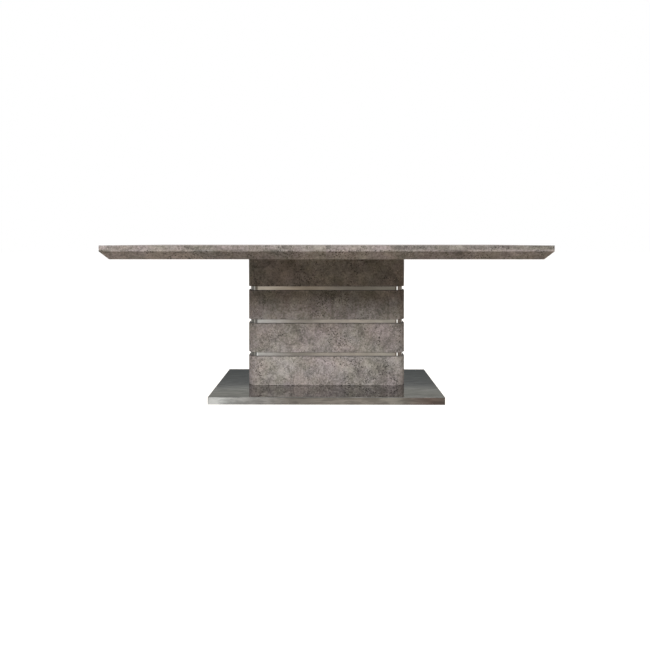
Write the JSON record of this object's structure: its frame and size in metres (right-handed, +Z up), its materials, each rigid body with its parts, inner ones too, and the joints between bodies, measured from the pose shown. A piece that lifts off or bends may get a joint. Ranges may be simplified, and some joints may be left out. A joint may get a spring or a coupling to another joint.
{
  "type": "extendable dining table",
  "caption": "Rectangular extending dining table with a bevel-edged concrete-effect top on a banded slab pedestal and a flat steel-clad plinth.",
  "frame": {"origin": "on the floor, under the middle of the closed table", "axes": "+X along the length towards the right half, +Y from the front edge to the rear, +Z up"},
  "size_m": [2, 1, 0.76],
  "materials": {
    "concrete_laminate": "matt concrete-effect laminate on board, mottled warm grey with small pits",
    "mdf_board": "raw fibreboard",
    "brushed_steel": "brushed stainless sheet, near mirror",
    "zinc_steel": "bright zinc plate",
    "black_steel": "matt black powder coat",
    "nylon": "moulded nylon",
    "foot_rubber": "matt black",
    "felt": "pressed felt",
    "beech": "turned beech",
    "brass": "turned brass"
  },
  "bodies": {
    "base": {"base_core": "mdf_board", "base_cladding": "brushed_steel", "foot_inserts": "brass", "bottom_box": "concrete_laminate", "lower_box": "concrete_laminate", "upper_box": "concrete_laminate", "top_box": "concrete_laminate", "box_lids": "mdf_board", "spacer_cores": "mdf_board", "bottom_band": "brushed_steel", "middle_band": "brushed_steel", "top_band": "brushed_steel", "tie_rods": "zinc_steel", "tie_rod_nuts": "zinc_steel", "tie_rod_washers": "zinc_steel", "mounting_plate": "black_steel", "frame_bolts": "zinc_steel", "frame_nuts": "zinc_steel", "cross_bearer_left": "black_steel", "cross_bearer_right": "black_steel", "slide_channel_front": "zinc_steel", "slide_channel_rear": "zinc_steel", "leaf_bars": "black_steel", "leaf_felts": "felt", "pinion_brackets": "zinc_steel", "pinion_axles": "zinc_steel", "leaf_lower_half": "concrete_laminate", "leaf_upper_half": "concrete_laminate", "leaf_hinges": "brass", "leaf_dowels": "beech"},
    "left_top": {"top_panel_left": "concrete_laminate", "edge_front_left": "concrete_laminate", "edge_rear_left": "concrete_laminate", "edge_end_left": "concrete_laminate", "runners_left": "zinc_steel", "runner_angles_left": "black_steel", "racks_left": "nylon", "top_screws_left": "zinc_steel", "lock_housings": "nylon"},
    "right_top": {"top_panel_right": "concrete_laminate", "edge_front_right": "concrete_laminate", "edge_rear_right": "concrete_laminate", "edge_end_right": "concrete_laminate", "runners_right": "zinc_steel", "runner_angles_right": "black_steel", "racks_right": "nylon", "top_screws_right": "zinc_steel", "seam_dowels": "beech", "lock_keepers": "nylon"},
    "left_cages": {"ball_cages_left": "zinc_steel"},
    "right_cages": {"ball_cages_right": "zinc_steel"},
    "front_pinion": {"pinion_front": "nylon"},
    "rear_pinion": {"pinion_rear": "nylon"},
    "front_lock": {"lock_bolt_front": "zinc_steel"},
    "rear_lock": {"lock_bolt_rear": "zinc_steel"},
    "front_left_foot": {"foot_front_left": "foot_rubber"},
    "front_right_foot": {"foot_front_right": "foot_rubber"},
    "rear_left_foot": {"foot_rear_left": "foot_rubber"},
    "rear_right_foot": {"foot_rear_right": "foot_rubber"}
  },
  "joints": [
    {"name": "left_top_slide", "type": "slide", "parent": "base", "child": "left_top", "axis": [-1, 0, 0], "range_m": [0, 0.25]},
    {"name": "right_top_slide", "type": "slide", "parent": "base", "child": "right_top", "axis": [1, 0, 0], "range_m": [0, 0.25]},
    {"name": "left_cages_slide", "type": "slide", "parent": "base", "child": "left_cages", "axis": [-1, 0, 0], "range_m": [0, 0.125]},
    {"name": "right_cages_slide", "type": "slide", "parent": "base", "child": "right_cages", "axis": [1, 0, 0], "range_m": [0, 0.125]},
    {"name": "front_pinion_spin", "type": "hinge", "parent": "base", "child": "front_pinion", "pos_m": [0, -0.32, 0.733], "axis": [0, 0, -1], "range_deg": [0, 1193.67]},
    {"name": "rear_pinion_spin", "type": "hinge", "parent": "base", "child": "rear_pinion", "pos_m": [0, 0.32, 0.733], "axis": [0, 0, 1], "range_deg": [0, 1193.67]},
    {"name": "front_lock_slide", "type": "slide", "parent": "left_top", "child": "front_lock", "axis": [1, 0, 0], "range_m": [0, 0.026]},
    {"name": "rear_lock_slide", "type": "slide", "parent": "left_top", "child": "rear_lock", "axis": [1, 0, 0], "range_m": [0, 0.026]},
    {"name": "front_left_foot_screw", "type": "slide", "parent": "base", "child": "front_left_foot", "axis": [0, 0, -1], "range_m": [0, 0.01]},
    {"name": "front_right_foot_screw", "type": "slide", "parent": "base", "child": "front_right_foot", "axis": [0, 0, -1], "range_m": [0, 0.01]},
    {"name": "rear_left_foot_screw", "type": "slide", "parent": "base", "child": "rear_left_foot", "axis": [0, 0, -1], "range_m": [0, 0.01]},
    {"name": "rear_right_foot_screw", "type": "slide", "parent": "base", "child": "rear_right_foot", "axis": [0, 0, -1], "range_m": [0, 0.01]}
  ],
  "couplings": [
    {"joint": "right_top_slide", "follows": "left_top_slide", "ratio": 1},
    {"joint": "left_cages_slide", "follows": "left_top_slide", "ratio": 0.5},
    {"joint": "right_cages_slide", "follows": "left_top_slide", "ratio": 0.5},
    {"joint": "front_pinion_spin", "follows": "left_top_slide", "rad_per_m": 83.333},
    {"joint": "rear_pinion_spin", "follows": "left_top_slide", "rad_per_m": 83.333}
  ]
}
